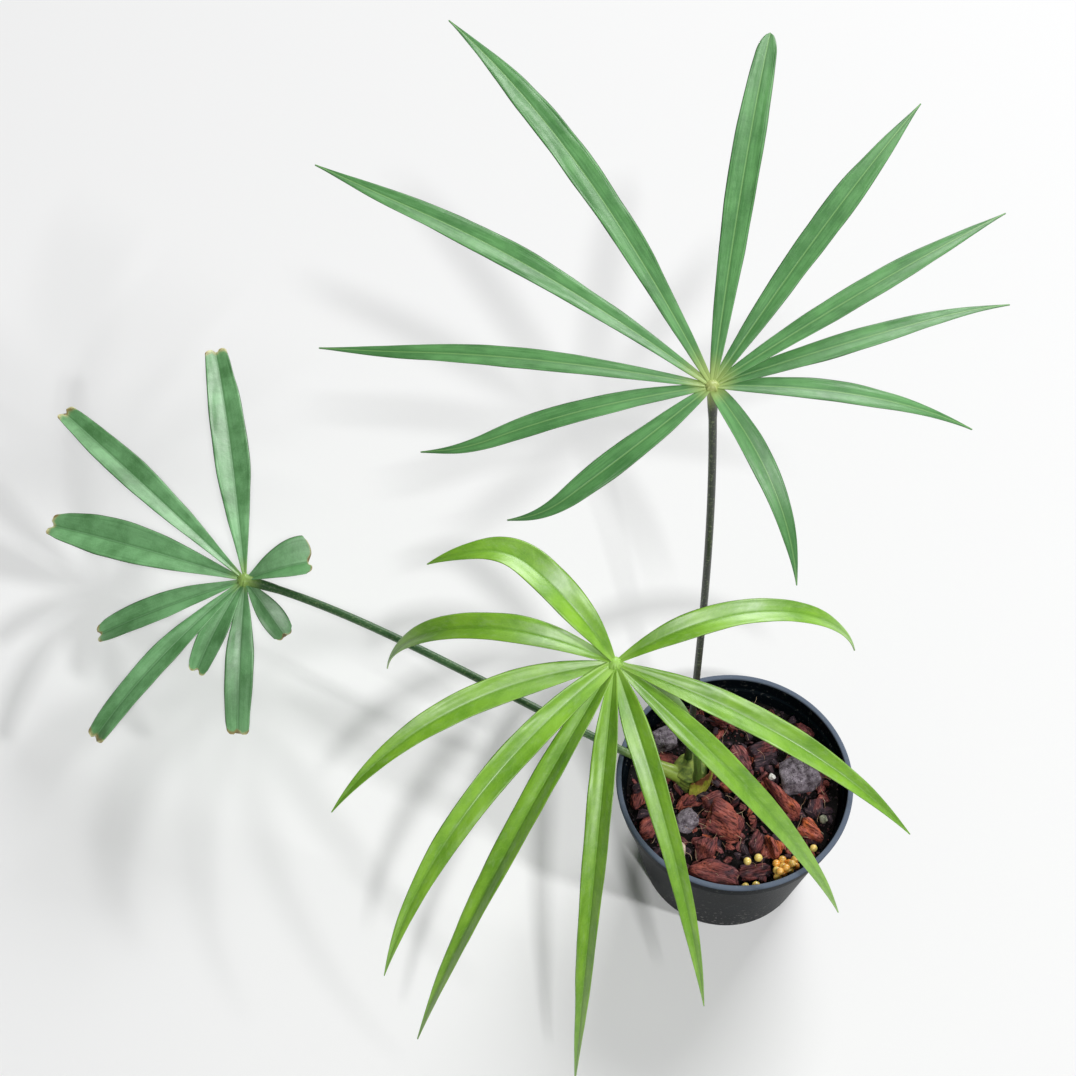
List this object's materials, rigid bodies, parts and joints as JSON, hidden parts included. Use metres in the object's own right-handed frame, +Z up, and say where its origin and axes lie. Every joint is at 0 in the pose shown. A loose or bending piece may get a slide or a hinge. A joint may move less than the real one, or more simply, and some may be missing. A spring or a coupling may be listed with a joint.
{
  "type": "potted anthurium",
  "caption": "Anthurium with long-fingered palmate leaves on slender petioles, rooted in coarse bark mix in a round tapered nursery pot.",
  "frame": {"origin": "centre of the pot's flat underside", "axes": "+Z up along the pot's axis, the young leaf hangs over the -Y side, the old leaf lies out to -X"},
  "size_m": [0.382, 0.3421, 0.3564],
  "materials": {
    "pot_plastic": "satin, scuffed and dusty low on the wall",
    "bark_mix": "rough, fibrous red-brown bark",
    "lava_rock": "matt, pitted",
    "cream_stone": "matt, speckled",
    "green_stone": "smooth, matt",
    "perlite": "chalky, porous",
    "prill_coat": "waxy, slightly see-through",
    "stem_skin": "green and fleshy",
    "dry_bract": "drying, yellow to brown",
    "mature_blade": "leathery, half gloss",
    "young_blade": "thin and soft, half gloss",
    "old_blade": "leathery, half gloss, browned tips"
  },
  "bodies": {
    "root": {"pot": "pot_plastic", "potting_mix": "bark_mix", "lava_rock_right": "lava_rock", "lava_rock_left": "lava_rock", "lava_rock_front": "lava_rock", "pebble_cream": "cream_stone", "pebble_green": "green_stone", "perlite_back": "perlite", "perlite_middle": "perlite", "fertiliser_prills": "prill_coat", "stem": "stem_skin", "cataphyll": "dry_bract", "leaf_upper": "mature_blade", "leaf_young": "young_blade", "leaf_old": "old_blade"}
  },
  "joints": []
}
